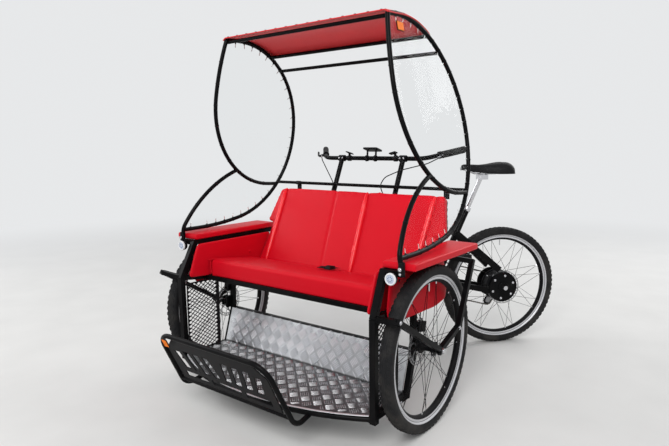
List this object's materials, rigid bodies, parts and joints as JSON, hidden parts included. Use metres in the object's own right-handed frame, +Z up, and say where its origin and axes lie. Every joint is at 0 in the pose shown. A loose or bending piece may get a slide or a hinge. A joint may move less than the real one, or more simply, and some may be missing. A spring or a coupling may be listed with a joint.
{
  "type": "front-loading cycle rickshaw",
  "caption": "Pedal rickshaw: a padded bench with footwell, canopy and clear sides between front wheels, on a kingpin ahead of a cycle's rear half.",
  "frame": {"origin": "on the ground under the middle of the bounding box", "axes": "+X to the vehicle's left, +Y to its rear, +Z up, set by the passenger pod"},
  "size_m": [1.3541, 2.0127, 1.642],
  "materials": {
    "frame_black": "satin black powder coat",
    "red_vinyl": "red coated upholstery",
    "clear_vinyl": "clear soft window sheet",
    "lamp_white": "clear lens over white",
    "bright_steel": "plated steel",
    "brake_black": "satin",
    "pedal_black": "moulded",
    "tyre_rubber": "block tread",
    "wheel_black": "anodised black",
    "floor_aluminium": "raised tread sheet",
    "red_fabric": "coated canopy cloth",
    "grip_rubber": "matt",
    "chain_steel": "oiled steel",
    "silver_alloy": "polished",
    "saddle_black": "matt",
    "crank_black": "satin",
    "cable_black": "cable housing",
    "black_plastic": "moulded"
  },
  "bodies": {
    "pod": {"floor_frame": "frame_black", "seat_frame": "frame_black", "steering_yoke": "frame_black", "handlebar": "frame_black", "canopy_bars": "frame_black", "step_guard": "frame_black", "step_plate": "frame_black", "corner_post_left": "frame_black", "wheel_guard_left": "frame_black", "mesh_panel_left": "frame_black", "hoop_left": "frame_black", "side_panel_left": "red_vinyl", "armrest_left": "red_vinyl", "window_left": "clear_vinyl", "headlight_left": "lamp_white", "front_axle_left": "bright_steel", "brake_caliper_left": "brake_black", "corner_post_right": "frame_black", "wheel_guard_right": "frame_black", "mesh_panel_right": "frame_black", "hoop_right": "frame_black", "side_panel_right": "red_vinyl", "armrest_right": "red_vinyl", "window_right": "clear_vinyl", "headlight_right": "lamp_white", "front_axle_right": "bright_steel", "brake_caliper_right": "brake_black", "floor_plate": "floor_aluminium", "seat_cushion": "red_vinyl", "backrest": "red_vinyl", "canopy_cover": "red_fabric", "grips": "grip_rubber", "brake_levers": "brake_black", "brake_cables": "cable_black", "display": "black_plastic"},
    "wheel_front_left": {"tyre_front_left": "tyre_rubber", "wheel_front_left": "wheel_black"},
    "wheel_front_right": {"tyre_front_right": "tyre_rubber", "wheel_front_right": "wheel_black"},
    "rear_frame": {"rear_frame": "frame_black", "rear_axle": "bright_steel", "chain": "chain_steel", "derailleur": "brake_black", "seat_post": "silver_alloy", "saddle": "saddle_black", "brake_caliper_rear": "brake_black"},
    "wheel_rear": {"tyre_rear": "tyre_rubber", "wheel_rear": "wheel_black"},
    "crankset": {"crankset": "crank_black"},
    "pedal_left": {"pedal_left": "pedal_black"},
    "pedal_right": {"pedal_right": "pedal_black"}
  },
  "joints": [
    {"name": "steering", "type": "hinge", "parent": "pod", "child": "rear_frame", "pos_m": [-0.003, 0.231, 0.45], "axis": [0, 0, 1], "range_deg": [-3.9, 86.1]},
    {"name": "front_left_spin", "type": "hinge", "parent": "pod", "child": "wheel_front_left", "pos_m": [0.6, -0.389, 0.333], "axis": [1, 0, 0], "continuous": true},
    {"name": "front_right_spin", "type": "hinge", "parent": "pod", "child": "wheel_front_right", "pos_m": [-0.606, -0.389, 0.333], "axis": [1, 0, 0], "continuous": true},
    {"name": "rear_spin", "type": "hinge", "parent": "rear_frame", "child": "wheel_rear", "pos_m": [0.44894, 0.74908, 0.333], "axis": [0.7536, -0.6574, 0], "continuous": true},
    {"name": "crank_spin", "type": "hinge", "parent": "rear_frame", "child": "crankset", "pos_m": [0.20079, 0.4646, 0.39], "axis": [0.7536, -0.6574, 0], "continuous": true},
    {"name": "pedal_left_spin", "type": "hinge", "parent": "crankset", "child": "pedal_left", "pos_m": [0.35879, 0.42211, 0.54407], "axis": [0.7536, -0.6574, 0], "continuous": true},
    {"name": "pedal_right_spin", "type": "hinge", "parent": "crankset", "child": "pedal_right", "pos_m": [0.04278, 0.5071, 0.23593], "axis": [0.7536, -0.6574, 0], "continuous": true}
  ]
}
